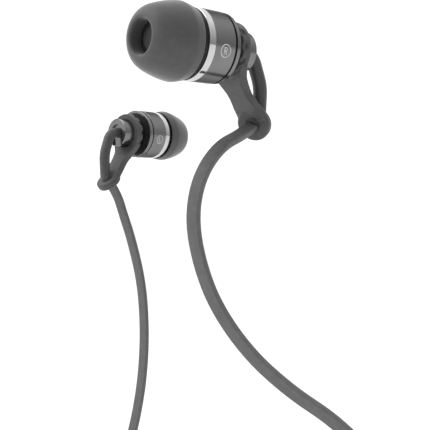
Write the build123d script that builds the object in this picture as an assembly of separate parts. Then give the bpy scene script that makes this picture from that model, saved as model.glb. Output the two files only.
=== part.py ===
from build123d import *
from math import cos, pi, radians, sin, tan
import os

# In-ear wired earphones, millimetres, +Z up.
# The origin is the centre of the right ear tip's mouth.  The right earphone lies along +X,
# from its mouth (x = 0) back to its cable boss.  The left one is the same build, turned and moved.
# Each earphone is drawn in its own frame first: x runs back along its axis, z is up.

# ---- overall sizes ----
shell_r = 5.7              # outside radius of the barrel and the bright trim ring
barrel_len = 4.12          # length of the glossy barrel
wall = 0.7                 # shell wall
seat = 0.02                # radial clearance where one fixed piece seats in another
running = 0.05             # radial clearance of a turning or sliding fit

# ---- silicone ear tip ----
tip_len = 7.9
tip_over = 0.46            # how much wider the tip is than the shell
tip_crease = 6.2           # where the dome ends and the skirt's straight rim starts
tip_mouth_r = 2.72
tip_wall = 0.65
tip_gap = 0.94             # between the tip's skirt and the bright trim ring
core_wall = 0.6
core_short = 1.2           # how far the core stops short of the skirt's edge

# ---- nozzle and front cap ----
nozzle_start = 1.9         # the nozzle's front end, set back inside the tip's mouth
rib_r = 2.5
rib_step = 0.3             # the rib stands this far proud of the nozzle
rib_len = 0.6
nozzle_wall = 0.6
shoulder_len = 1.04        # front cap's shoulder, in front of the trim ring
trim_len = 1.24
spigot_len = 0.54          # how far the front cap reaches into the barrel

# ---- driver ----
driver_clear = 0.12        # between the driver and the barrel
driver_gap = 0.2           # between the front cap's spigot and the driver
gasket_len = 0.18
rim_depth = 0.48           # front rim of the driver's frame
coil_travel = 0.45         # from that rim to the magnet system
coil_r = 1.95              # inside radius of the voice coil
coil_wire = 0.25
coil_gap = 0.2             # on each side of the voice coil
plate_len = 0.55
magnet_len = 0.65
yoke_wall = 0.53
yoke_floor = 0.45
board_thick = 0.4
board_size = (4.0, 2.8)
film = 0.06                # diaphragm thickness

# ---- rear end ----
groove = 0.35              # black line between the barrel and the rear collar
collar_len = 0.8
recess_len = 1.35          # black neck between the collar and the arm
rear_spigot = 0.6          # how far the rear cap reaches into the barrel
pivot_gap = 0.15           # end clearance on each side of the arm's ring
stub_r = 2.3               # hollow pivot that the arm turns on
stub_bore_r = 0.9
stub_head = 0.45           # how much wider the pivot's head is
head_len = 0.5
wire_r = 0.3
wire_pitch = 0.8

# ---- swivel arm ----
arm_ring_r = 4.6
arm_ring_len = 1.7
scallops = 12              # notches round the front rim of the arm's ring
scallop_r = 0.85
scallop_depth = 0.35
strap_half = 2.05          # half the strap's width at its waist
strap_thick = 1.5
eyelet_r = 2.9
eyelet_thick = 1.8
eyelet_round = 0.55
eyelet_drop = 11.5         # the eyelet's centre below the axis
eyelet_reach = 6.95        # and behind the front of the arm's ring
eyelet_tilt = {"right": 25.0, "left": 50.0}   # how far each soft eyelet's bore points down
eyelet_yaw = {"right": 19.0, "left": 0.0}     # and to the side, as the strap twists

# ---- boss and strain relief ----
boss_wall = 0.35
boss_len = 2.65
boss_end_wall = 0.45
boss_recess = 0.45         # depth of the recess in the boss's end
recess_round = 0.75        # and how much wider it is than the relief
head_room = 0.25           # round the pivot's head, inside the boss
relief_r = 1.2
flange_len = 0.43
flange_over = 0.7
relief_out = 1.9           # the loop leaves the boss, swells backwards and comes down to the eyelet
relief_belly = {"right": 4.0, "left": 3.9}    # its fullest point: behind the boss
relief_drop = 5.2          # and below the axis
relief_bend = {"right": 1.0, "left": 0.72}    # straight part of its last turn, behind the eyelet
relief_end = 0.15          # and in front of it
relief_radii = [2.6, 8.0, 1.4]

# ---- side marks ----
mark_r = 1.03
mark_line = 0.14
mark_sink = 0.08
mark_proud = 0.02
mark_angle = 15.0          # below the horizontal, on the side away from the head

# ---- flat cable ----
cable_w = 2.2
cable_t = 1.1
cable_corner = 0.3
cable_lead = {"right": 3.6, "left": 3.2}      # straight run out of each eyelet

# ---- coil of put-away cable: five flat spirals side by side on an axis along X ----
coil_pitch = 2.35
coil_centre = (33.0, 17.0, -125.0)
coil_in = 9.65             # centre line of the innermost turn
coil_out = 16.7            # centre line of the outermost turn
coil_slack = 0.5           # room round the turns in their columns
coil_columns = 5
main_columns = 3
tie_thick = 0.8
tie_gap = 0.05
tie_angle = 135.0
tie_span = 18.0            # degrees of the coil that the tie covers

# ---- splitter ----
splitter_w = 6.0
splitter_t = 3.2
splitter_len = 12.0
splitter_wall = 0.8
splitter_round = 1.2
splitter_top = (42.4, 26.1, -136.0)

# ---- 3.5 mm plug ----
plug_r = 1.75
plug_top = (23.9, 27.0, -138.0)
plug_relief_len = 8.0
grip_len = 16.0
grip_r = 3.2
grip_hold = 2.0            # how far the sleeve's root sits in the grip
root_step = 0.3            # and how much thinner it is there
sleeve_len = 6.0
band_len = 0.6             # plastic bands between the contacts
ring_len = 1.6
tip_contact_len = 5.2
plug_core_r = 0.8

# ---- where the left earphone sits ----
left_mouth = (57.42, 61.81, -9.42)
left_turn = 187.74

# ---- stations along one earphone, worked out from the sizes above ----
tip_skirt_r = shell_r + tip_over
trim_start = tip_len + tip_gap
cap_face = trim_start - shoulder_len
barrel_start = trim_start + trim_len
barrel_end = barrel_start + barrel_len
collar_start = barrel_end + groove
collar_end = collar_start + collar_len
ring_start = collar_end + recess_len + pivot_gap
ring_end = ring_start + arm_ring_len
boss_end = ring_end + boss_len
cavity_end = boss_end - boss_recess - boss_end_wall - flange_len - seat
eyelet_back = ring_start + eyelet_reach
bore_r = rib_r + running
nozzle_r = rib_r - rib_step
nozzle_bore_r = nozzle_r - nozzle_wall
spigot_r = shell_r - wall
barrel_in_r = spigot_r + seat
driver_start = barrel_start + spigot_len + driver_gap
driver_end = barrel_end - rear_spigot - 3 * driver_gap
driver_r = barrel_in_r - driver_clear
yoke_in_r = coil_r + coil_wire + coil_gap
yoke_r = yoke_in_r + yoke_wall
board_start = driver_start + rim_depth + coil_travel + plate_len + magnet_len + yoke_floor + seat
stub_head_r = stub_r + stub_head
boss_r = stub_head_r + head_room + boss_wall

left_place = Pos(*left_mouth) * Rot(0, 0, left_turn)
places = {"right": Pos(0, 0, 0), "left": left_place}


def turned(*profile):
    """Revolve a closed outline of (x, radius) corners about the earphone's axis."""
    face = make_face(Polyline(*profile, close=True))
    return revolve(face, Axis.X, 360)


def hoop(start, end, inner, outer):
    """A plain ring or, with inner 0, a plain disc."""
    return turned((start, inner), (end, inner), (end, outer), (start, outer))


# ---------------------------------------------------------------- front end


def ear_tip():
    """Dome-shaped silicone tip: an outer skirt folded back over a straight core."""
    dome = [(0.5, 2.08), (2.0, 1.16), (5.0, 0.23)]     # back from the mouth, in from the skirt
    rim_r = tip_skirt_r - 0.1
    lip = (0.0, tip_mouth_r + 0.45)
    outer = Spline(lip, (0.25, tip_skirt_r - 2.41), *[(x, tip_skirt_r - inset) for x, inset in dome],
                   (tip_crease, tip_skirt_r), (tip_len, rim_r))
    core_r = bore_r + core_wall
    core_end = tip_len - core_short
    fold = nozzle_start + 0.2
    under_r = tip_skirt_r - tip_wall
    inner = Spline((tip_len, rim_r - tip_wall), (tip_crease, under_r), (5.0, under_r - 0.23),
                   (fold + 0.8, under_r - 1.16), (fold, core_r))
    edge = Polyline((fold, core_r), (core_end, core_r), (core_end, bore_r), (nozzle_start - 0.2, bore_r),
                    (0.35, tip_mouth_r), lip)
    heel = Line((tip_len, rim_r), (tip_len, rim_r - tip_wall))
    return revolve(make_face([outer, heel, inner, edge]), Axis.X, 360)


def front_cap():
    """Front half of the shell, with the ribbed nozzle that the ear tip pushes onto."""
    throat_r = spigot_r - 0.6
    return turned(
        (nozzle_start, nozzle_bore_r + 0.15),
        (nozzle_start, rib_r - 0.15),
        (nozzle_start + 0.15, rib_r),
        (nozzle_start + rib_len, rib_r),
        (nozzle_start + rib_len + 0.2, nozzle_r),
        (cap_face - 0.4, nozzle_r),
        (cap_face, nozzle_r + 0.8),
        (cap_face + 0.15, shell_r - 0.5),
        (cap_face + 0.4, shell_r - 0.3),
        (trim_start, shell_r - 0.3),
        (trim_start, spigot_r),
        (barrel_start + spigot_len, spigot_r),
        (barrel_start + spigot_len, throat_r),
        (trim_start + 0.3, throat_r),
        (trim_start - 0.1, throat_r - 0.8),
        (cap_face + 0.2, nozzle_bore_r),
        (nozzle_start + 0.25, nozzle_bore_r),
        (nozzle_start + 0.25, nozzle_bore_r + 0.15),
    )


def mesh_screen():
    return hoop(nozzle_start + 0.03, nozzle_start + 0.18, 0, nozzle_bore_r + 0.15 - seat)


def nozzle_damper():
    return hoop(cap_face - 2.0, cap_face - 0.6, 0, nozzle_bore_r - seat)


def trim_ring():
    """Bright ring with small broken edges."""
    inner = spigot_r + seat
    return turned(
        (trim_start, inner),
        (trim_start, shell_r - 0.08),
        (trim_start + 0.08, shell_r),
        (barrel_start - 0.08, shell_r),
        (barrel_start, shell_r - 0.08),
        (barrel_start, inner),
    )


def barrel():
    return turned(
        (barrel_start, barrel_in_r),
        (barrel_start, shell_r - 0.1),
        (barrel_start + 0.1, shell_r),
        (barrel_end - 0.1, shell_r),
        (barrel_end, shell_r - 0.1),
        (barrel_end, barrel_in_r),
    )


# ---------------------------------------------------------------- driver


def driver_parts():
    """A moving-coil driver: frame, diaphragm, voice coil, magnet, plate, yoke and gasket."""
    front = driver_start
    back = driver_end
    rim = front + rim_depth
    lip_r = driver_r - 0.7
    skin_r = driver_r - 0.4
    plate_r = coil_r - coil_gap
    gap_front = rim + coil_travel
    plate_end = gap_front + plate_len
    floor_start = plate_end + magnet_len
    frame = turned(
        (front, lip_r),
        (front, driver_r),
        (back, driver_r),
        (back, yoke_r + seat),
        (back - 0.4, yoke_r + seat),
        (back - 0.4, skin_r),
        (rim, skin_r),
        (rim, lip_r),
    )
    near = rim + seat
    dome_r = coil_r + 0.1
    edge_r = skin_r - 0.1
    crown = [(0.4, 0), (0.36, dome_r * 0.35), (0.24, dome_r * 0.7)]      # forward of the edge, radius
    outside = [(near - rise, radius) for rise, radius in crown] + [(near, dome_r), (near, edge_r)]
    inside = [(near + film, edge_r), (near + film, dome_r - 0.05)]
    inside += [(near + film - rise, max(radius - 0.03, 0)) for rise, radius in reversed(crown)]
    yoke = turned(
        (gap_front, yoke_in_r),
        (gap_front, yoke_r),
        (floor_start + yoke_floor, yoke_r),
        (floor_start + yoke_floor, 0.4),
        (floor_start, 0.4),
        (floor_start, yoke_in_r),
    )
    return {
        "driver_frame": frame,
        "diaphragm": turned(*outside, *inside),
        "voice_coil": hoop(near + film, plate_end, coil_r, coil_r + coil_wire),
        "top_plate": hoop(gap_front, plate_end, 0, plate_r),
        "magnet": hoop(plate_end, floor_start, 0, plate_r - 0.05),
        "yoke": yoke,
        "driver_gasket": hoop(front - gasket_len, front, lip_r - 0.1, driver_r),
        "terminal_board": terminal_board(),
    }


def terminal_board():
    """Small board behind the magnet, with a bead of solder for each wire."""
    bead_r = 0.4
    bead_len = 0.2
    board = Pos(board_start + board_thick / 2, 0, 0) * Box(board_thick, *board_size)
    for side in (-1, 1):
        spot = Pos(board_start + board_thick + bead_len / 4, side * (board_size[0] / 2 - 0.6), 0)
        board += spot * Cylinder(bead_r, bead_len, rotation=(0, 90, 0))
    return board


# ---------------------------------------------------------------- rear end


def rear_cap():
    """Closes the barrel, and carries the hollow pivot stub with its retaining head."""
    groove_r = shell_r - 0.35
    inside_r = spigot_r - 0.8
    neck = ring_start - pivot_gap
    head = ring_end + pivot_gap
    floor = barrel_end + rear_spigot
    return turned(
        (barrel_end - rear_spigot, spigot_r),
        (barrel_end, spigot_r),
        (barrel_end, groove_r),
        (collar_start, groove_r),
        (collar_start, spigot_r),
        (collar_end + 0.1, spigot_r),
        (collar_end + 0.8, arm_ring_r - 0.7),
        (neck, arm_ring_r - 0.9),
        (neck, stub_r),
        (head, stub_r),
        (head, stub_head_r),
        (head + head_len, stub_head_r),
        (head + head_len, stub_bore_r),
        (floor, stub_bore_r),
        (floor, inside_r),
        (barrel_end - rear_spigot, inside_r),
    )


def rear_collar():
    inner = spigot_r + seat
    return turned(
        (collar_start, inner),
        (collar_start, shell_r - 0.05),
        (collar_end - 0.12, shell_r - 0.05),
        (collar_end, shell_r - 0.2),
        (collar_end, inner),
    )


def lead_wires():
    """Two insulated wires from the board, through the hollow pivot, to the relief."""
    start = board_start + board_thick + seat
    length = ring_end + pivot_gap + head_len + 0.1 - start
    pair = []
    for side in (-1, 1):
        spot = Pos(start + length / 2, side * wire_pitch / 2, 0)
        pair.append(spot * Cylinder(wire_r, length, rotation=(0, 90, 0)))
    return Compound(children=pair)


def side_mark(side):
    """A thin inlaid circle with R or L in it, on the barrel's outer flank."""
    away = -1 if side == "right" else 1
    flat = Circle(mark_r) - Circle(mark_r - mark_line)
    if side == "right":
        bowl = Pos(0.0, 0.24) * (Circle(0.31) - Circle(0.31 - mark_line))
        bowl &= Pos(0.2, 0.24) * Rectangle(0.4, 0.7)
        stem = Pos(-0.27, 0) * Rectangle(mark_line, 1.1)
        arms = Pos(-0.13, 0.48) * Rectangle(0.3, mark_line) + Pos(-0.13, 0.0) * Rectangle(0.3, mark_line)
        leg = Pos(0.12, -0.28) * Rot(0, 0, 33) * Rectangle(mark_line, 0.66)
        flat += stem + arms + bowl + leg
    else:
        flat += Pos(-0.2, 0) * Rectangle(mark_line, 1.05) + Pos(0.02, -0.455) * Rectangle(0.5, mark_line)
    middle = barrel_start + barrel_len / 2
    lean = radians(mark_angle)
    out = Vector(0, away * cos(lean), -sin(lean))
    across = Vector(-away, 0, 0)
    spot = Plane(origin=Vector(middle, 0, 0) + out * (shell_r - 1.0), x_dir=across, z_dir=out)
    block = extrude(spot * flat, 2.0)
    skin = hoop(barrel_start, barrel_end, shell_r - mark_sink, shell_r + mark_proud)
    return block & skin


# ---------------------------------------------------------------- arm, boss and relief


def bore_direction(side):
    """The way the eyelet's bore points, down and a little to the side."""
    lean = radians(eyelet_tilt[side])
    yaw = radians(eyelet_yaw[side])
    return Vector(-cos(lean) * cos(yaw), -cos(lean) * sin(yaw), -sin(lean))


def strap_course():
    """Corners of the strap's middle line, from inside the ring, down, and back to the eyelet."""
    top = Vector(ring_start + arm_ring_len / 2, 0, -0.54 * arm_ring_r)
    way = Vector(eyelet_back, 0, -eyelet_drop) - top
    shares = [(0, 0), (0.065, 0.156), (0.2, 0.3), (0.35, 0.42), (0.53, 0.57), (0.79, 0.76), (0.97, 0.93)]
    return [top + Vector(way.X * back, 0, way.Z * down) for back, down in shares]


def strap():
    """The soft strap: its bent side profile, cut to its waisted front outline."""
    middle = strap_course()
    front = []
    rear = []
    for before, here, after in zip(middle[:1] + middle, middle, middle[1:] + middle[-1:]):
        along = (after - before).normalized()
        offset = Vector(along.Z, 0, -along.X) * (strap_thick / 2)
        front.append(here + offset)
        rear.append(here - offset)
    rear.reverse()
    outline = [Spline(*front), Line(front[-1], rear[0]), Spline(*rear), Line(rear[-1], front[0])]
    body = extrude(make_face(outline), arm_ring_r, dir=(0, 1, 0), both=True)

    # half widths down the strap: share of the drop, how much of the ring's and of the eyelet's width
    widths = [(0.0, 0.7, 0), (0.12, 0.57, 0), (0.21, 0.35, 0), (0.3, 0.2, 0), (0.41, 0.06, 0), (0.53, 0, 0),
              (0.64, 0, 0.18), (0.73, 0, 0.5), (0.86, 0, 0.78), (1.0, 0, 0.86)]
    top = middle[0].Z
    near_side = []
    for down, ring_share, eyelet_share in widths:
        half = strap_half + ring_share * (arm_ring_r - strap_half) + eyelet_share * (eyelet_r - strap_half)
        near_side.append(Vector(ring_start - 1, half, top + (-eyelet_drop - top) * down))
    far_side = [Vector(spot.X, -spot.Y, spot.Z) for spot in reversed(near_side)]
    lower = Line(near_side[-1], far_side[0])
    upper = Line(far_side[-1], near_side[0])
    front_view = make_face([Spline(*near_side), lower, Spline(*far_side), upper])
    return body & extrude(front_view, eyelet_reach + eyelet_r + 1, dir=(1, 0, 0))


def swivel_arm(side):
    """Scalloped ring round the pivot, a strap that bends back as it falls, and an eyelet."""
    arm = hoop(ring_start, ring_end, 0, arm_ring_r)
    notch_out = arm_ring_r - scallop_depth + scallop_r
    for step in range(scallops):
        notch = Pos(ring_start, notch_out, 0) * Cylinder(scallop_r, arm_ring_len, rotation=(0, 90, 0))
        arm -= Rot(360 * step / scallops, 0, 0) * notch

    eyelet_plane = Plane(origin=(eyelet_back, 0, -eyelet_drop), z_dir=bore_direction(side))
    disc = extrude(eyelet_plane * Circle(eyelet_r), eyelet_thick / 2, both=True)
    disc = fillet(disc.edges().filter_by(GeomType.CIRCLE), eyelet_round)
    arm += strap() + disc
    arm -= extrude(eyelet_plane * Circle(relief_r + seat), eyelet_thick * 3, both=True)
    arm -= relief_loop(side, relief_r + seat)
    arm -= hoop(ring_end, boss_end, 0, boss_r + seat)
    return arm - hoop(ring_start - 1, ring_end + 1, 0, stub_r + running)


def pivot_boss():
    """Cup over the pivot's head.  The relief comes out of the recess in its end."""
    inside_r = stub_head_r + head_room
    recess_floor = boss_end - boss_recess
    cup = turned(
        (ring_end, inside_r),
        (ring_end, boss_r),
        (boss_end - 0.25, boss_r),
        (boss_end, boss_r - 0.25),
        (boss_end, relief_r + recess_round),
        (recess_floor, relief_r + recess_round),
        (recess_floor, relief_r + seat),
        (recess_floor - boss_end_wall, relief_r + seat),
        (recess_floor - boss_end_wall, inside_r),
    )
    slot_deep = boss_r + 1.0
    slot = Box(2 * boss_recess, 2 * relief_r + 0.3, slot_deep)
    return cup - Pos(boss_end, 0, -slot_deep / 2) * slot


def relief_points(side):
    """Corner points of the strain relief's loop, ending just past the eyelet."""
    bore = bore_direction(side)
    foot = Vector(eyelet_back, 0, -eyelet_drop)
    turn_down = Vector(boss_end + relief_out, 0, 0)
    belly = Vector(boss_end + relief_belly[side], 0, -relief_drop)
    corner = foot - bore * (eyelet_thick / 2 + relief_bend[side])
    end = foot + bore * (eyelet_thick / 2 + relief_end)
    return [Vector(cavity_end, 0, 0), turn_down, belly, corner, end]


def relief_loop(side, radius):
    """Round loop of that radius from the boss to the eyelet."""
    points = relief_points(side)
    path = FilletPolyline(*points, radius=relief_radii)
    start = Plane(origin=points[0], z_dir=(1, 0, 0))
    return sweep(start * Circle(radius), path=path)


def strain_relief(side):
    """Moulded loop that carries the cable from the boss through the eyelet, and its flange."""
    return relief_loop(side, relief_r) + hoop(cavity_end, cavity_end + flange_len, 0, relief_r + flange_over)


def cable_exit(side, out=0.0):
    """Where the flat cable leaves the relief, or a point that far out, in the whole object's frame."""
    spot = relief_points(side)[-1] + bore_direction(side) * out
    return tuple((places[side] * Pos(spot)).position)


# ---------------------------------------------------------------- cables


def corner_radii(points):
    """One radius a corner, as large as its two runs allow."""
    spots = [Vector(*point) for point in points]
    radii = []
    for before, here, after in zip(spots, spots[1:], spots[2:]):
        turn = (here - before).get_angle(after - here)
        shorter = min((here - before).length, (after - here).length)
        radii.append(0.45 * shorter / tan(radians(turn / 2)))
    return radii


def flat_cable(points, label):
    """Flat tube along straight runs joined by tangent arcs."""
    radii = corner_radii(points)
    path = FilletPolyline(*points, radius=radii)
    section = Plane(origin=path @ 0, z_dir=path % 0) * RectangleRounded(cable_w, cable_t, cable_corner)
    tube = sweep(section, path=path)
    area = cable_w * cable_t - (4 - pi) * cable_corner**2
    print(label, "length", round(path.length, 1), "volume", round(tube.volume, 1),
          "section x length", round(area * path.length, 1), "radii", [round(r, 1) for r in radii])
    return tube


# the right branch, from its eyelet in a wide sweep down to the top of the coil
right_route = [
    cable_exit("right"),
    cable_exit("right", cable_lead["right"]),
    (14.1, -1.8, -15.7),
    (10.4, -1.2, -20.6),
    (9.6, -0.4, -27.0),
    (10.6, -1.0, -34.0),
    (12.5, -2.8, -41.0),
    (15.4, -7.3, -48.2),
    (19.3, -12.7, -53.8),
    (23.3, -17.9, -57.8),
    (27.4, -21.7, -63.4),
    (30.1, -21.2, -72.0),
    (32.6, -18.0, -81.2),
    (34.6, -11.6, -90.6),
    (35.5, -3.0, -99.6),
    (35.4, 7.0, -107.0),
    (35.35, 17.0, -108.3),
]
right_tail = [
    (35.35, 21.8, -116.6),
    (35.9, 22.4, -119.3),
    (37.8, 22.9, -122.6),
    (40.2, 24.0, -126.6),
    (41.2, 26.1, -131.4),
    (41.2, 26.1, -136.0),
]
# the left branch hangs from its eyelet to the coil's far side
left_route = [
    cable_exit("left"),
    cable_exit("left", cable_lead["left"]),
    (37.8, 58.7, -28.2),
    (39.3, 57.1, -35.0),
    (40.0, 54.1, -45.0),
    (39.4, 52.1, -55.4),
    (38.4, 51.4, -65.2),
    (36.9, 51.6, -74.4),
    (34.8, 52.2, -82.8),
    (33.9, 50.7, -91.2),
    (34.6, 46.6, -99.6),
    (36.0, 41.4, -107.6),
    (37.3, 36.4, -115.2),
    (37.7, 33.9, -120.8),
    (37.7, 33.7, -125.0),
]
left_tail = [
    (37.7, 25.4, -120.2),
    (38.9, 26.5, -122.9),
    (41.6, 27.2, -126.8),
    (43.6, 26.1, -131.4),
    (43.6, 26.1, -136.0),
]
# the main cable loops under the coil and winds onto it, and its end drops to the plug
main_route = [
    (42.4, 26.1, -148.0),
    (42.4, 26.1, -153.6),
    (41.6, 22.4, -161.0),
    (39.0, 14.4, -165.2),
    (36.0, 6.2, -162.6),
    (33.9, 1.4, -155.0),
    (33.0, 0.2, -145.2),
    (33.05, 0.25, -135.0),
    (33.0, 0.3, -125.0),
]
main_tail = [
    (28.3, 25.4, -120.2),
    (27.0, 26.7, -122.8),
    (24.8, 27.4, -127.2),
    (23.9, 27.0, -132.6),
    (23.9, 27.0, -138.0),
]


def coil_ring(first, last):
    """Closed outer shape of the turns in columns first to last, counted from the plug's side."""
    middle_x = coil_centre[0]
    half_count = coil_columns / 2
    low = middle_x + (first - 1 - half_count) * coil_pitch
    high = middle_x + (last - half_count) * coil_pitch
    deep = coil_out - coil_in + cable_t + 2 * coil_slack
    band = Pos((low + high) / 2, (coil_in + coil_out) / 2) * RectangleRounded(high - low, deep, coil_slack)
    ring = revolve(band, Axis.X, 360)
    return Pos(0, coil_centre[1], coil_centre[2]) * ring


def cable_tie():
    """Strap round the whole bundle of turns."""
    width = coil_columns * coil_pitch
    height = coil_out - coil_in + cable_t + 2 * coil_slack
    middle = (coil_in + coil_out) / 2
    grow = 2 * (tie_gap + tie_thick)
    frame = Rectangle(width + grow, height + grow) - Rectangle(width + 2 * tie_gap, height + 2 * tie_gap)
    band = revolve(Pos(coil_centre[0], middle) * frame, Axis.X, tie_span)
    lean = Rot(tie_angle - tie_span / 2, 0, 0)
    return Pos(0, coil_centre[1], coil_centre[2]) * lean * band


# ---------------------------------------------------------------- splitter and plug


def splitter_half(front):
    """Half of the hollow yoke that joins the two branches to the main cable."""
    body = Box(splitter_w, splitter_t, splitter_len)
    body = fillet(body.edges().filter_by(Axis.Z), splitter_round)
    hollow = Box(
        splitter_w - 2 * splitter_wall, splitter_t - 2 * splitter_wall, splitter_len - 2 * splitter_wall
    )
    shift = splitter_t / 2 if not front else -splitter_t / 2
    keep = Pos(0, shift, 0) * Box(splitter_w * 2, splitter_t, splitter_len * 2)
    middle = Pos(splitter_top[0], splitter_top[1], splitter_top[2] - splitter_len / 2)
    return middle * ((body - hollow) & keep)


def plug_turned(*profile):
    """Revolve (radius, depth below the plug's top) corners about the plug's upright axis."""
    face = make_face(Polyline(*[(radius, -depth) for radius, depth in profile], close=True))
    solid = revolve(Plane.XZ * face, Axis.Z, 360)
    return Pos(*plug_top) * solid


def plug_parts():
    """3.5 mm stereo plug: relief, grip, three contacts and the bands between them."""
    grip_start = plug_relief_len
    pin_start = grip_start + grip_len
    sleeve_end = pin_start + sleeve_len
    ring_from = sleeve_end + band_len
    ring_to = ring_from + ring_len
    tip_from = ring_to + band_len
    tip_to = tip_from + tip_contact_len
    neck = tip_from + tip_contact_len / 2
    root_start = pin_start - grip_hold
    root_r = plug_r - root_step
    relief = plug_turned((0, 0), (1.4, 0), (2.1, plug_relief_len), (0, plug_relief_len))
    grip = plug_turned(
        (plug_core_r, grip_start),
        (grip_r - 0.7, grip_start),
        (grip_r, grip_start + 1.5),
        (grip_r, pin_start - 0.6),
        (grip_r - 0.6, pin_start),
        (root_r, pin_start),
        (root_r, root_start),
        (plug_core_r, root_start),
    )
    sleeve = plug_turned(
        (plug_core_r, root_start),
        (root_r, root_start),
        (root_r, pin_start),
        (plug_r, pin_start),
        (plug_r, sleeve_end),
        (plug_core_r, sleeve_end),
    )
    bands = []
    for start in (sleeve_end, ring_to):
        end = start + band_len
        bands.append(plug_turned((plug_core_r, start), (plug_r, start), (plug_r, end), (plug_core_r, end)))
    ring_contact = plug_turned(
        (plug_core_r, ring_from), (plug_r, ring_from), (plug_r, ring_to), (plug_core_r, ring_to)
    )
    tip_contact = plug_turned(
        (0, grip_start + 1.0),
        (plug_core_r - seat, grip_start + 1.0),
        (plug_core_r - seat, tip_from),
        (plug_r, tip_from),
        (plug_r - 0.05, neck - 0.9),
        (1.15, neck),
        (1.65, neck + 0.9),
        (0.9, tip_to - 0.4),
        (0.35, tip_to),
        (0, tip_to),
    )
    return {
        "plug_relief": relief,
        "plug_grip": grip,
        "plug_sleeve": sleeve,
        "plug_bands": Compound(children=bands),
        "plug_ring": ring_contact,
        "plug_tip": tip_contact,
    }


# ---------------------------------------------------------------- assembly


def earphone(side):
    """Every piece of one earphone, in its own frame."""
    pieces = {
        "ear_tip": ear_tip(),
        "front_cap": front_cap(),
        "mesh_screen": mesh_screen(),
        "nozzle_damper": nozzle_damper(),
        "trim_ring": trim_ring(),
        "barrel": barrel(),
        "rear_collar": rear_collar(),
        "rear_cap": rear_cap(),
        "lead_wires": lead_wires(),
        "side_mark": side_mark(side),
        "swivel_arm": swivel_arm(side),
        "pivot_boss": pivot_boss(),
        "strain_relief": strain_relief(side),
    }
    pieces.update(driver_parts())
    return pieces


def build():
    nodes = {}
    for side, place in places.items():
        for name, shape in earphone(side).items():
            nodes[f"{side}_{name}"] = place * shape
    right_parts = [flat_cable(right_route, "right cable"), flat_cable(right_tail, "right cable end")]
    left_parts = [flat_cable(left_route, "left cable"), flat_cable(left_tail, "left cable end")]
    main_parts = [flat_cable(main_route, "main cable"), flat_cable(main_tail, "main cable end")]
    nodes["right_cable"] = Compound(children=right_parts)
    nodes["left_cable"] = Compound(children=left_parts)
    nodes["main_cable"] = Compound(children=main_parts)
    nodes["main_coil"] = coil_ring(1, main_columns)
    nodes["right_coil"] = coil_ring(main_columns + 1, main_columns + 1)
    nodes["left_coil"] = coil_ring(main_columns + 2, main_columns + 2)
    nodes["cable_tie"] = cable_tie()
    nodes["splitter_front"] = splitter_half(True)
    nodes["splitter_back"] = splitter_half(False)
    nodes.update(plug_parts())
    return nodes


os.makedirs("parts", exist_ok=True)
for node, shape in build().items():
    export_step(shape, f"parts/{node}.step")
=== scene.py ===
from math import cos, pi, radians, sin

import bpy
import numpy as np
from mathutils import Matrix, Vector


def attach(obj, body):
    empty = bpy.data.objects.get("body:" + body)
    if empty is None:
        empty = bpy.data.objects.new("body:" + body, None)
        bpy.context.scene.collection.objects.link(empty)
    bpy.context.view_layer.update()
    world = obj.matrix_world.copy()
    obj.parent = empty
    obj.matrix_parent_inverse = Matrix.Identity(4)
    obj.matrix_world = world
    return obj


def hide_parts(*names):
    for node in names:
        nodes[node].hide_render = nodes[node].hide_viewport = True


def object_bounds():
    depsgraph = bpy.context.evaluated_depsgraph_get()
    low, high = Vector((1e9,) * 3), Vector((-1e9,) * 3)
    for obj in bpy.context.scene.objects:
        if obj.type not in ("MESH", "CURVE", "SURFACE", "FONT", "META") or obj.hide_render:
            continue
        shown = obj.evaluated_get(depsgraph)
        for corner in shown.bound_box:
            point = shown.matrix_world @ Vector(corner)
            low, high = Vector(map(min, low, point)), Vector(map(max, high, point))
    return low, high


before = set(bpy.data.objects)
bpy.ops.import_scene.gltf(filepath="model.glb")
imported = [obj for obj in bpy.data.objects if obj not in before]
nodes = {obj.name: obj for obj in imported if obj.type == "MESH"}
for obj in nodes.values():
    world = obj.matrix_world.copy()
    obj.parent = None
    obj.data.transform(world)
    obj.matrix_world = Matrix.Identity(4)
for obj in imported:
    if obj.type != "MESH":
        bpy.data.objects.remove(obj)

# Looks of the wired in-ear earphones.  Sizes and points are in millimetres, as in the part's own
# source, and MM turns them into metres.  The camera, the floor and the lights are in metres.
MM = 0.001
cad_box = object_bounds()
scene = bpy.context.scene

# ---------------------------------------------------------------- camera

VIEW = Vector((0.669, 0.743, -0.04)).normalized()    # the way the camera looks
SCREEN_RIGHT = Vector((0.743, -0.669, 0.0)).normalized()
CAMERA_PLACE = (-0.066, -0.08985, -0.02179)
CAMERA_PITCH = radians(87.684)
CAMERA_YAW = radians(-41.985)
SENSOR_WIDTH = 36.0                                  # the sensor and the lens in mm
LENS = 62.79
CLIP_NEAR = 0.01
CLIP_FAR = 20.0

camera_data = bpy.data.cameras.new("camera")
camera_data.sensor_width = SENSOR_WIDTH
camera_data.lens = LENS
camera_data.clip_start = CLIP_NEAR
camera_data.clip_end = CLIP_FAR
camera = bpy.data.objects.new("camera", camera_data)
camera.location = CAMERA_PLACE
camera.rotation_euler = (CAMERA_PITCH, 0.0, CAMERA_YAW)
scene.collection.objects.link(camera)
scene.camera = camera
scene.view_settings.view_transform = "Standard"

# ---------------------------------------------------------------- materials

NOISE_LOW = 0.3                                      # noise mostly lies between these two values
NOISE_HIGH = 0.7
BROAD_SHARE = 0.12                                   # the colour's noise is this much coarser than the grain
BROAD_DETAIL = 2.0
FINE_DETAIL = 4.0


def shader(name):
    """A new node material: its node tree, its Principled shader and its object coordinates."""
    made = bpy.data.materials.new(name)
    made.use_nodes = True
    tree = made.node_tree
    principled = tree.nodes["Principled BSDF"]
    coords = tree.nodes.new("ShaderNodeTexCoord")
    return made, tree, principled, coords.outputs["Object"]


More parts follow.
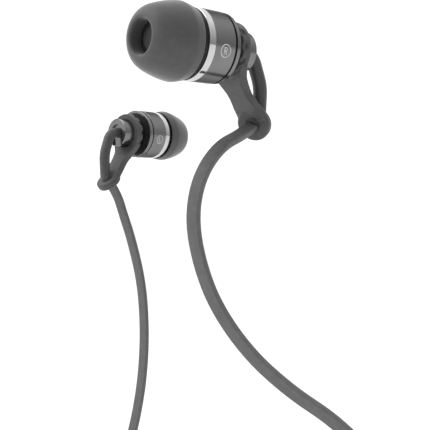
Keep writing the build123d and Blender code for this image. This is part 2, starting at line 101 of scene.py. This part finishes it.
def noise(tree, where, scale, detail=3.0, stretch=(1, 1, 1)):
    """Fractal noise over object coordinates, drawn out along an axis where stretch is small."""
    mapping = tree.nodes.new("ShaderNodeMapping")
    mapping.inputs["Scale"].default_value = stretch
    tree.links.new(where, mapping.inputs["Vector"])
    texture = tree.nodes.new("ShaderNodeTexNoise")
    texture.inputs["Scale"].default_value = scale
    texture.inputs["Detail"].default_value = detail
    tree.links.new(mapping.outputs["Vector"], texture.inputs["Vector"])
    return texture.outputs["Fac"]


def ramp(tree, value, low, high, start=NOISE_LOW, end=NOISE_HIGH):
    """Colours from low to high as value goes from start to end."""
    node = tree.nodes.new("ShaderNodeValToRGB")
    node.color_ramp.elements[0].position = start
    node.color_ramp.elements[0].color = (*low, 1)
    node.color_ramp.elements[1].position = end
    node.color_ramp.elements[1].color = (*high, 1)
    tree.links.new(value, node.inputs["Fac"])
    return node.outputs["Color"]


def span(tree, value, low, high, start=NOISE_LOW, end=NOISE_HIGH):
    """Maps start..end to low..high."""
    node = tree.nodes.new("ShaderNodeMapRange")
    node.inputs["From Min"].default_value = start
    node.inputs["From Max"].default_value = end
    node.inputs["To Min"].default_value = low
    node.inputs["To Max"].default_value = high
    tree.links.new(value, node.inputs["Value"])
    return node.outputs["Result"]


def bump(tree, principled, value, height):
    """Relief of that height, in metres, from value."""
    node = tree.nodes.new("ShaderNodeBump")
    node.inputs["Strength"].default_value = 1.0
    node.inputs["Distance"].default_value = height
    tree.links.new(value, node.inputs["Height"])
    tree.links.new(node.outputs["Normal"], principled.inputs["Normal"])


def grey(value):
    return (value, value, value)


def finish_material(name, low, high, rough, grain, relief, metal=0.0, stretch=(1, 1, 1), **fixed):
    """Colour from low to high, roughness over a range and relief, all from noise of that grain.
    Each value in fixed goes on the shader's socket of that name."""
    made, tree, principled, where = shader(name)
    broad = noise(tree, where, grain * BROAD_SHARE, BROAD_DETAIL, stretch)
    fine = noise(tree, where, grain, FINE_DETAIL, stretch)
    tree.links.new(ramp(tree, broad, low, high), principled.inputs["Base Color"])
    tree.links.new(span(tree, fine, *rough), principled.inputs["Roughness"])
    principled.inputs["Metallic"].default_value = metal
    for socket, value in fixed.items():
        principled.inputs[socket.replace("_", " ")].default_value = value
    bump(tree, principled, fine, relief)
    return made


SILICONE = finish_material(
    "silicone", grey(0.06), grey(0.07), (0.46, 0.58), 9000, 0.000006,
    Sheen_Weight=0.55, Sheen_Roughness=0.35, Specular_IOR_Level=0.4,
)
GLOSS = finish_material(
    "gloss_shell", grey(0.18), grey(0.21), (0.19, 0.25), 2600, 0.0000006,
    metal=0.92, Specular_Tint=(*grey(0.16), 1.0), Coat_Weight=0.12, Coat_Roughness=0.05,
)
# near-black: partly the front cap's own black, partly painted shade of the gap between the ear tip and the
# chrome ring and of the cap's bore
SHELL_BLACK_AND_GAP_SHADE = finish_material(
    "dark_shell", grey(0.006), grey(0.01), (0.4, 0.55), 6000, 0.000003, Specular_IOR_Level=0.3,
)
CHROME = finish_material(
    "chrome", grey(0.52), grey(0.58), (0.06, 0.12), 5000, 0.0000005, metal=1.0,
)
# near-black: the plug bands' own black plastic, and on the rear cap also painted shade of its recessed neck
BLACK_AND_RECESS_SHADE = finish_material(
    "black_plastic", grey(0.003), grey(0.005), (0.5, 0.65), 7000, 0.000004, Specular_IOR_Level=0.15,
)
SOFT_ARM = finish_material(
    "soft_arm", grey(0.05), grey(0.062), (0.48, 0.60), 9000, 0.000007,
    Sheen_Weight=0.15, Sheen_Roughness=0.5, Specular_IOR_Level=0.4,
)
RELIEF = finish_material(
    "wire_jacket", grey(0.048), grey(0.058), (0.4, 0.5), 8000, 0.000005,
    Sheen_Weight=0.3, Sheen_Roughness=0.4, Specular_IOR_Level=0.45,
)
CABLE = finish_material(
    "cable_jacket", grey(0.095), grey(0.115), (0.45, 0.58), 7000, 0.000005, Specular_IOR_Level=0.4,
)
STEEL = finish_material("steel", grey(0.5), grey(0.6), (0.25, 0.4), 4000, 0.000002, metal=1.0)
CONTACT = finish_material(
    "contact_metal", (0.46, 0.45, 0.42), (0.54, 0.52, 0.49), (0.12, 0.2), 5000, 0.0000005, metal=1.0,
)
MAGNET = finish_material("magnet", grey(0.3), grey(0.4), (0.3, 0.45), 5000, 0.000002, metal=0.9)
COPPER = finish_material(
    "copper", (0.72, 0.3, 0.16), (0.85, 0.42, 0.25), (0.2, 0.35), 6000, 0.000002,
    metal=1.0, stretch=(6, 1, 1),
)
FILM = finish_material("film", (0.5, 0.42, 0.26), (0.6, 0.52, 0.34), (0.15, 0.25), 5000, 0.000001)
FOAM = finish_material("foam", grey(0.02), grey(0.09), (0.85, 0.98), 5200, 0.00008)
BOARD = finish_material(
    "board", (0.02, 0.11, 0.05), (0.03, 0.16, 0.07), (0.3, 0.45), 3000, 0.000002, Coat_Weight=0.4,
)
DRIVER = finish_material("driver_plastic", grey(0.04), grey(0.055), (0.35, 0.5), 5000, 0.000002)
INK = finish_material("mark_ink", grey(0.5), grey(0.6), (0.4, 0.5), 9000, 0.000001)
TIE = finish_material("tie_strap", grey(0.018), grey(0.04), (0.75, 0.95), 12000, 0.00005)

GAUZE_SCALE = 1100
GAUZE_TURN = 45.0                                    # degrees each way from upright
GAUZE_HEIGHT = 0.00004
GAUZE_GAP = 0.45                                     # where the waves pass from gap to wire
GAUZE_WIRE = 0.7
GAUZE_METAL = 0.8
GAUZE_ROUGH = 0.35


def mesh_material():
    """Fine steel gauze: wires over a dark gap, from two crossed waves. The near-black of the gap is painted
    shade seen through the holes.
    """
    made, tree, principled, where = shader("steel_mesh")
    wires = tree.nodes.new("ShaderNodeMath")
    wires.operation = "MAXIMUM"
    for turn, socket in zip((GAUZE_TURN, -GAUZE_TURN), wires.inputs):
        mapping = tree.nodes.new("ShaderNodeMapping")
        mapping.inputs["Rotation"].default_value = (radians(turn), 0, 0)
        tree.links.new(where, mapping.inputs["Vector"])
        wave = tree.nodes.new("ShaderNodeTexWave")
        wave.bands_direction = "Y"
        wave.inputs["Scale"].default_value = GAUZE_SCALE
        tree.links.new(mapping.outputs["Vector"], wave.inputs["Vector"])
        tree.links.new(wave.outputs["Fac"], socket)
    height = wires.outputs["Value"]
    # the gap colour is painted shade seen through the gauze's holes; the wires are dark grey
    colour = ramp(tree, height, grey(0.006), grey(0.09), GAUZE_GAP, GAUZE_WIRE)
    tree.links.new(colour, principled.inputs["Base Color"])
    principled.inputs["Metallic"].default_value = GAUZE_METAL
    principled.inputs["Roughness"].default_value = GAUZE_ROUGH
    bump(tree, principled, height, GAUZE_HEIGHT)
    return made


# by a node's name, or by its name without the side
finish_of = {
    "ear_tip": SILICONE, "front_cap": SHELL_BLACK_AND_GAP_SHADE, "mesh_screen": mesh_material(), "nozzle_damper": FOAM,
    "trim_ring": CHROME, "barrel": GLOSS, "rear_collar": GLOSS, "rear_cap": BLACK_AND_RECESS_SHADE, "lead_wires": COPPER,
    "side_mark": INK, "driver_frame": DRIVER, "diaphragm": FILM, "voice_coil": COPPER, "top_plate": STEEL,
    "magnet": MAGNET, "yoke": STEEL, "driver_gasket": FOAM, "terminal_board": BOARD, "swivel_arm": SOFT_ARM,
    "pivot_boss": GLOSS, "strain_relief": RELIEF, "cable": CABLE, "coil": CABLE, "cable_tie": TIE,
    "splitter_front": SOFT_ARM, "splitter_back": SOFT_ARM, "plug_relief": RELIEF, "plug_grip": SOFT_ARM,
    "plug_sleeve": CONTACT, "plug_bands": BLACK_AND_RECESS_SHADE, "plug_ring": CONTACT, "plug_tip": CONTACT,
}
for name, node in nodes.items():
    kind = name if name in finish_of else name.split("_", 1)[1]
    node.data.materials.clear()
    node.data.materials.append(finish_of[kind])

# ---------------------------------------------------------------- cords

CABLE_W = 2.2
CABLE_T = 1.1
CABLE_CORNER = 0.24
CORNER_STEPS = 4
CURVE_STEPS = 9                                      # points on the smooth curve for each chosen point
CABLE_LEAN = 34.0                                    # degrees its broad face leans from the camera
RIGHT_LEANING = 95.0                                 # the stretch that leans, past what shows of it
LEFT_LEANING = 70.0
TWIST_WINDOW = 15                                    # points each way that the twist is evened out over

COIL_CENTRE = (17.0, -125.0)
COIL_IN = 9.65
COIL_OUT = 16.7
COIL_STEP = 22.5                                     # degrees from one chosen point to the next
COLUMNS = [28.3, 30.65, 33.0, 35.35, 37.7]
RIGHT_START = 90.0                                   # the angle at which each cord joins the coil
LEFT_START = 0.0
MAIN_START = 180.0
RIGHT_SWEEP = 750.0                                  # and the degrees that it winds from there
LEFT_SWEEP = 1050.0
BRANCH_CROWDING = 1.9
MAIN_SWEEP = 1090.0                                  # degrees in one column of the main cable
MAIN_SHIFT = 60.0                                    # degrees over which it steps to the next column
MAIN_COLUMNS = 3
INNER_REACH = 0.6                                    # how far past the turns a point still lies flat
OUTER_REACH = 0.4
COLUMN_REACH = 0.2

right_route = [
    (22.900, -0.310, -11.944), (19.815, -1.372, -13.465), (14.1, -1.8, -15.7), (10.4, -1.2, -20.6),
    (9.6, -0.4, -27.0), (10.6, -1.0, -34.0), (12.5, -2.8, -41.0), (15.4, -7.3, -48.2),
    (19.3, -12.7, -53.8), (23.3, -17.9, -57.8), (27.4, -21.7, -63.4), (30.1, -21.2, -72.0),
    (32.6, -18.0, -81.2), (34.6, -11.6, -90.6), (35.5, -3.0, -99.6), (35.4, 7.0, -107.0),
    (35.35, 17.0, -108.3),
]
right_tail = [
    (35.35, 21.8, -116.6), (35.9, 22.4, -119.3), (37.8, 22.9, -122.6), (40.2, 24.0, -126.6),
    (41.2, 26.1, -131.4), (41.2, 26.1, -136.0),
]
left_route = [
    (34.506, 58.696, -21.724), (36.544, 58.973, -24.176), (37.8, 58.7, -28.2), (39.3, 57.1, -35.0),
    (40.0, 54.1, -45.0), (39.4, 52.1, -55.4), (38.4, 51.4, -65.2), (36.9, 51.6, -74.4),
    (34.8, 52.2, -82.8), (33.9, 50.7, -91.2), (34.6, 46.6, -99.6), (36.0, 41.4, -107.6),
    (37.3, 36.4, -115.2), (37.7, 33.9, -120.8), (37.7, 33.7, -125.0),
]
left_tail = [
    (37.7, 25.4, -120.2), (38.9, 26.5, -122.9), (41.6, 27.2, -126.8), (43.6, 26.1, -131.4),
    (43.6, 26.1, -136.0),
]
main_route = [
    (42.4, 26.1, -148.0), (42.4, 26.1, -153.6), (41.6, 22.4, -161.0), (39.0, 14.4, -165.2),
    (36.0, 6.2, -162.6), (33.9, 1.4, -155.0), (33.0, 0.2, -145.2), (33.05, 0.25, -135.0),
    (33.0, 0.3, -125.0),
]
main_tail = [
    (28.3, 25.4, -120.2), (27.0, 26.7, -122.8), (24.8, 27.4, -127.2), (23.9, 27.0, -132.6),
    (23.9, 27.0, -138.0),
]


def coil_point(x, radius, angle):
    y = COIL_CENTRE[0] + radius * cos(radians(angle))
    z = COIL_CENTRE[1] + radius * sin(radians(angle))
    return (x, y, z)


def spiral(x, start, sweep, crowded):
    """Turns of a branch from the outside in, without the first and last points, which its runs hold.
    The turns crowd together at the coil's outer or inner side."""
    count = round(sweep / COIL_STEP)
    points = []
    for step in range(1, count):
        share = step / count
        if crowded == "outer":
            drop = share ** BRANCH_CROWDING
        else:
            drop = 1 - (1 - share) ** BRANCH_CROWDING
        radius = COIL_OUT - (COIL_OUT - COIL_IN) * drop
        points.append(coil_point(x, radius, start - sweep * share))
    return points


def main_turns():
    """Three columns of turns: in, out and in again, with a step sideways between columns."""
    total = MAIN_COLUMNS * MAIN_SWEEP + (MAIN_COLUMNS - 1) * MAIN_SHIFT
    count = round(total / COIL_STEP)
    pitch = COLUMNS[2] - COLUMNS[1]
    points = []
    for step in range(1, count):
        swept = total * step / count
        column, part = divmod(swept, MAIN_SWEEP + MAIN_SHIFT)
        along = min(part / MAIN_SWEEP, 1.0)
        aside = max(part - MAIN_SWEEP, 0.0) / MAIN_SHIFT
        depth = 1 - along if column == 1 else along
        radius = COIL_OUT - (COIL_OUT - COIL_IN) * depth
        points.append(coil_point(COLUMNS[2] - pitch * (column + aside), radius, MAIN_START - swept))
    return points


def spline_line(points):
    """Points, in metres, along one smooth NURBS curve through the given control points."""
    data = bpy.data.curves.new("route", "CURVE")
    data.dimensions = "3D"
    data.resolution_u = CURVE_STEPS
    spline = data.splines.new("NURBS")
    spline.points.add(len(points) - 1)
    for spot, point in zip(spline.points, points):
        spot.co = (point[0] * MM, point[1] * MM, point[2] * MM, 1.0)
    spline.order_u = 3
    spline.use_endpoint_u = True
    holder = bpy.data.objects.new("route", data)
    scene.collection.objects.link(holder)
    mesh = bpy.data.meshes.new_from_object(holder)
    line = np.array([vertex.co[:] for vertex in mesh.vertices])
    bpy.data.objects.remove(holder)
    bpy.data.meshes.remove(mesh)
    return line


def flat_section(width, thick, corner):
    """Corner points of a flat section with rounded corners: (across the width, through the thickness)."""
    points = []
    for quarter in range(4):
        middle_w = (width / 2 - corner) * (1 if quarter in (0, 3) else -1)
        middle_t = (thick / 2 - corner) * (1 if quarter in (0, 1) else -1)
        for step in range(CORNER_STEPS + 1):
            angle = radians(90 * (quarter + step / CORNER_STEPS))
            points.append((middle_w + corner * cos(angle), middle_t + corner * sin(angle)))
    return points


def tangents(line):
    steps = np.gradient(line, axis=0)
    return steps / np.linalg.norm(steps, axis=1)[:, None]


def distances(line):
    """How far along the line each of its points is."""
    return np.concatenate([[0], np.cumsum(np.linalg.norm(np.diff(line, axis=0), axis=1))])


def unit(vector):
    return vector / np.linalg.norm(vector)


def lies_on_coil(spot):
    """Whether a point, in metres, lies among the coil's turns."""
    x, y, z = spot / MM
    radius = np.hypot(y - COIL_CENTRE[0], z - COIL_CENTRE[1])
    in_ring = COIL_IN - INNER_REACH < radius < COIL_OUT + OUTER_REACH
    in_columns = COLUMNS[0] - COLUMN_REACH < x < COLUMNS[-1] + COLUMN_REACH
    return in_ring and in_columns


def wanted_axes(line, along, leaning):
    """The width's direction where it is set.  The broad face leans from the side it is looked at over
    that many millimetres from the exit.  On the coil and at the line's ends it lies flat."""
    lengths = distances(line) / MM
    view = np.array(VIEW)
    flat = np.array((1.0, 0.0, 0.0))
    lean = radians(CABLE_LEAN)
    wanted = []
    for index, (spot, direction) in enumerate(zip(line, along)):
        if lengths[index] < leaning:
            across = unit(np.cross(direction, view))
            away = unit(view - direction * view.dot(direction))
            wanted.append(across * cos(lean) - away * sin(lean))
        elif lies_on_coil(spot) or index in (0, len(line) - 1):
            wanted.append(unit(flat - direction * flat.dot(direction)))
        else:
            wanted.append(None)
    return wanted


def width_axes(line, along, wanted):
    """The width's direction at each point.  wanted gives it where it is set, and None between, where
    the cable twists evenly.  A flat cable is the same either way up, so it takes the shorter turn."""
    carried = [unit(np.cross(along[0], (0.0, 0.0, 1.0)))]
    for direction in along[1:]:
        carried.append(unit(carried[-1] - direction * carried[-1].dot(direction)))
    lengths = distances(line)
    places, angles = [], []
    for index, target in enumerate(wanted):
        if target is None:
            continue
        base = carried[index]
        side = np.cross(along[index], base)
        angle = np.arctan2(np.dot(target, side), np.dot(target, base))
        if angles:
            angle += pi * round((angles[-1] - angle) / pi)
        places.append(lengths[index])
        angles.append(angle)
    turned = np.pad(np.interp(lengths, places, angles), TWIST_WINDOW, mode="edge")
    kernel = 2 * TWIST_WINDOW + 1
    smooth = np.convolve(turned, np.ones(kernel) / kernel, mode="valid")
    axes = []
    for base, direction, angle in zip(carried, along, smooth):
        axes.append(base * cos(angle) + np.cross(direction, base) * sin(angle))
    return axes


def mesh_piece(name, vertices, faces, finish):
    """A smooth-shaded mesh object with one material."""
    mesh = bpy.data.meshes.new(name)
    mesh.from_pydata([tuple(v) for v in vertices], [], faces)
    mesh.update()
    mesh.shade_smooth()
    made = bpy.data.objects.new(name, mesh)
    scene.collection.objects.link(made)
    made.data.materials.append(finish)
    return made


def flat_cord(name, line, leaning):
    """A flat cable's mesh along its line, with a plain face on each end."""
    along = tangents(line)
    axes = width_axes(line, along, wanted_axes(line, along, leaning))
    section = flat_section(CABLE_W * MM, CABLE_T * MM, CABLE_CORNER * MM)
    count = len(section)
    vertices = []
    for spot, direction, width in zip(line, along, axes):
        through = np.cross(direction, width)
        for across, up in section:
            vertices.append(spot + width * across + through * up)
    last = (len(line) - 1) * count
    faces = []
    for ring in range(0, last, count):
        for corner in range(count):
            here = ring + corner
            beside = ring + (corner + 1) % count
            faces.append((here, beside, beside + count, here + count))
    faces.append(tuple(reversed(range(count))))
    faces.append(tuple(range(last, last + count)))
    return mesh_piece(name, vertices, faces, CABLE)


def cord_piece(side, points, leaning):
    """One cord of the harness, from its exit to its far end; it hides the CAD cable and coil that it stands
    in for.
    """
    line = spline_line(points)
    cord = flat_cord(f"{side}_flat_cable", line, leaning)
    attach(cord, "harness")
    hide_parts(f"{side}_cable", f"{side}_coil")


right_points = right_route + spiral(COLUMNS[3], RIGHT_START, RIGHT_SWEEP, "outer") + right_tail
left_points = left_route + spiral(COLUMNS[4], LEFT_START, LEFT_SWEEP, "inner") + left_tail
main_points = main_route + main_turns() + main_tail
cord_piece("right", right_points, RIGHT_LEANING)
cord_piece("left", left_points, LEFT_LEANING)
cord_piece("main", main_points, 0.0)

# ---------------------------------------------------------------- ear tips and arms

LEFT_PLACE = (57.42, 61.81, -9.42)                   # the left earphone's mouth, and its turn
LEFT_TURN = 187.74
TIP_SEGMENTS = 72
TIP_LEVELS = 2
ARM_VOXEL = 0.1
ARM_ROUNDS = 6
ARM_EASE = 0.5

# (back from the mouth, radius) round the tip's section, from the mouth's lip over the dome to the
# skirt, in under it to the core, and back along the bore
TIP_PROFILE = [
    (0.34, 2.66), (0.04, 2.82), (0.0, 3.12), (0.1, 3.55), (0.44, 4.16), (1.05, 4.72), (1.9, 5.12),
    (3.1, 5.52), (4.2, 5.82), (5.1, 6.02), (5.8, 6.13), (6.1, 6.16), (6.25, 6.155), (6.5, 6.12),
    (6.9, 6.05), (7.4, 5.96), (7.75, 5.88), (7.88, 5.78), (7.88, 5.6), (7.7, 5.44),
    (6.8, 5.45), (6.0, 5.41), (4.8, 5.2), (3.7, 4.85), (2.95, 4.4), (2.5, 3.9), (2.35, 3.45),
    (2.5, 3.2), (3.0, 3.15), (4.4, 3.15), (5.6, 3.15), (6.58, 3.14), (6.7, 3.0), (6.7, 2.66),
    (6.6, 2.57), (5.6, 2.56), (4.4, 2.56), (3.0, 2.57), (1.9, 2.6), (1.0, 2.64),
]


def lathe(name, profile, finish, place):
    """A closed section turned about local X, rounded by subdivision and put in place."""
    count = len(profile)
    vertices = []
    for step in range(TIP_SEGMENTS):
        angle = 2 * pi * step / TIP_SEGMENTS
        for x, radius in profile:
            vertices.append(place @ (Vector((x, radius * cos(angle), radius * sin(angle))) * MM))
    faces = []
    for step in range(TIP_SEGMENTS):
        here = step * count
        after = (step + 1) % TIP_SEGMENTS * count
        for corner in range(count):
            beyond = (corner + 1) % count
            faces.append((here + corner, after + corner, after + beyond, here + beyond))
    made = mesh_piece(name, vertices, faces, finish)
    smooth = made.modifiers.new("smooth", "SUBSURF")
    smooth.levels = TIP_LEVELS
    smooth.render_levels = TIP_LEVELS
    return made


def softened(node_name, name, finish):
    """A copy of a CAD node with its edges rolled over, as a soft moulding has them."""
    made = bpy.data.objects.new(name, nodes[node_name].data.copy())
    scene.collection.objects.link(made)
    remesh = made.modifiers.new("remesh", "REMESH")
    remesh.mode = "VOXEL"
    remesh.voxel_size = ARM_VOXEL * MM
    remesh.use_smooth_shade = True
    relax = made.modifiers.new("relax", "SMOOTH")
    relax.factor = ARM_EASE
    relax.iterations = ARM_ROUNDS
    bpy.context.view_layer.update()
    shaped = bpy.data.meshes.new_from_object(made.evaluated_get(bpy.context.evaluated_depsgraph_get()))
    made.modifiers.clear()
    made.data = shaped
    made.data.materials.clear()
    made.data.materials.append(finish)
    return made


places = {
    "right": Matrix.Identity(4),
    "left": Matrix.Translation(Vector(LEFT_PLACE) * MM) @ Matrix.Rotation(radians(LEFT_TURN), 4, "Z"),
}
for side, place in places.items():
    tip = lathe(f"{side}_silicone_tip", TIP_PROFILE, SILICONE, place)
    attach(tip, f"{side}_tip")
    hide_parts(f"{side}_ear_tip")
    arm = softened(f"{side}_swivel_arm", f"{side}_soft_arm", SOFT_ARM)
    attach(arm, "harness")
    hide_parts(f"{side}_swivel_arm")

# ---------------------------------------------------------------- floor and lights

FLOOR_HALF = 3.0
FLOOR_DROP = 0.004                                   # how far the floor is under the object
FLOOR_NOISE = 3.0
FLOOR_ROUGH = 0.9

# the studio is brightest behind the object, on its left and above it
BRIGHT_SIDE = (VIEW * 0.62 - SCREEN_RIGHT * 0.55 + Vector((0, 0, 0.56))).normalized()
DIM_FACING = -0.75                                   # how nearly a direction faces the bright side
BRIGHT_FACING = 0.3
DIM_STRENGTH = 0.26
BRIGHT_STRENGTH = 1.2

KEY_PLACE = (-0.45, 0.25, 0.7)
KEY_AIM = (0.02, 0.03, -0.02)
KEY_SIZE = 0.8
KEY_POWER = 3.0


def pale_floor():
    """A wide pale square just under the object."""
    made, tree, principled, where = shader("floor")
    colour = ramp(tree, noise(tree, where, FLOOR_NOISE), grey(0.97), grey(0.985))
    tree.links.new(colour, principled.inputs["Base Color"])
    principled.inputs["Roughness"].default_value = FLOOR_ROUGH
    level = cad_box[0].z - FLOOR_DROP
    corners = [(-1, -1), (1, -1), (1, 1), (-1, 1)]
    vertices = [(x * FLOOR_HALF, y * FLOOR_HALF, level) for x, y in corners]
    return mesh_piece("floor", vertices, [(0, 1, 2, 3)], made)


def studio_world():
    """White all round the back, the left and the top, falling to grey in front and on the right."""
    world = bpy.data.worlds.new("studio")
    world.use_nodes = True
    tree = world.node_tree
    background = tree.nodes["Background"]
    coords = tree.nodes.new("ShaderNodeTexCoord")
    facing = tree.nodes.new("ShaderNodeVectorMath")
    facing.operation = "DOT_PRODUCT"
    facing.inputs[1].default_value = BRIGHT_SIDE
    tree.links.new(coords.outputs["Generated"], facing.inputs[0])
    strength = span(
        tree, facing.outputs["Value"], DIM_STRENGTH, BRIGHT_STRENGTH, DIM_FACING, BRIGHT_FACING,
    )
    tree.links.new(strength, background.inputs["Strength"])
    background.inputs["Color"].default_value = (*grey(1.0), 1.0)
    return world


def softbox(name, where, aim, size, power):
    """A square studio light at where, aimed at aim, in metres and watts."""
    light = bpy.data.lights.new(name, "AREA")
    light.shape = "SQUARE"
    light.size = size
    light.energy = power
    holder = bpy.data.objects.new(name, light)
    holder.location = where
    holder.rotation_euler = (Vector(aim) - Vector(where)).to_track_quat("-Z", "Y").to_euler()
    scene.collection.objects.link(holder)


pale_floor()
scene.world = studio_world()
softbox("key", KEY_PLACE, KEY_AIM, KEY_SIZE, KEY_POWER)
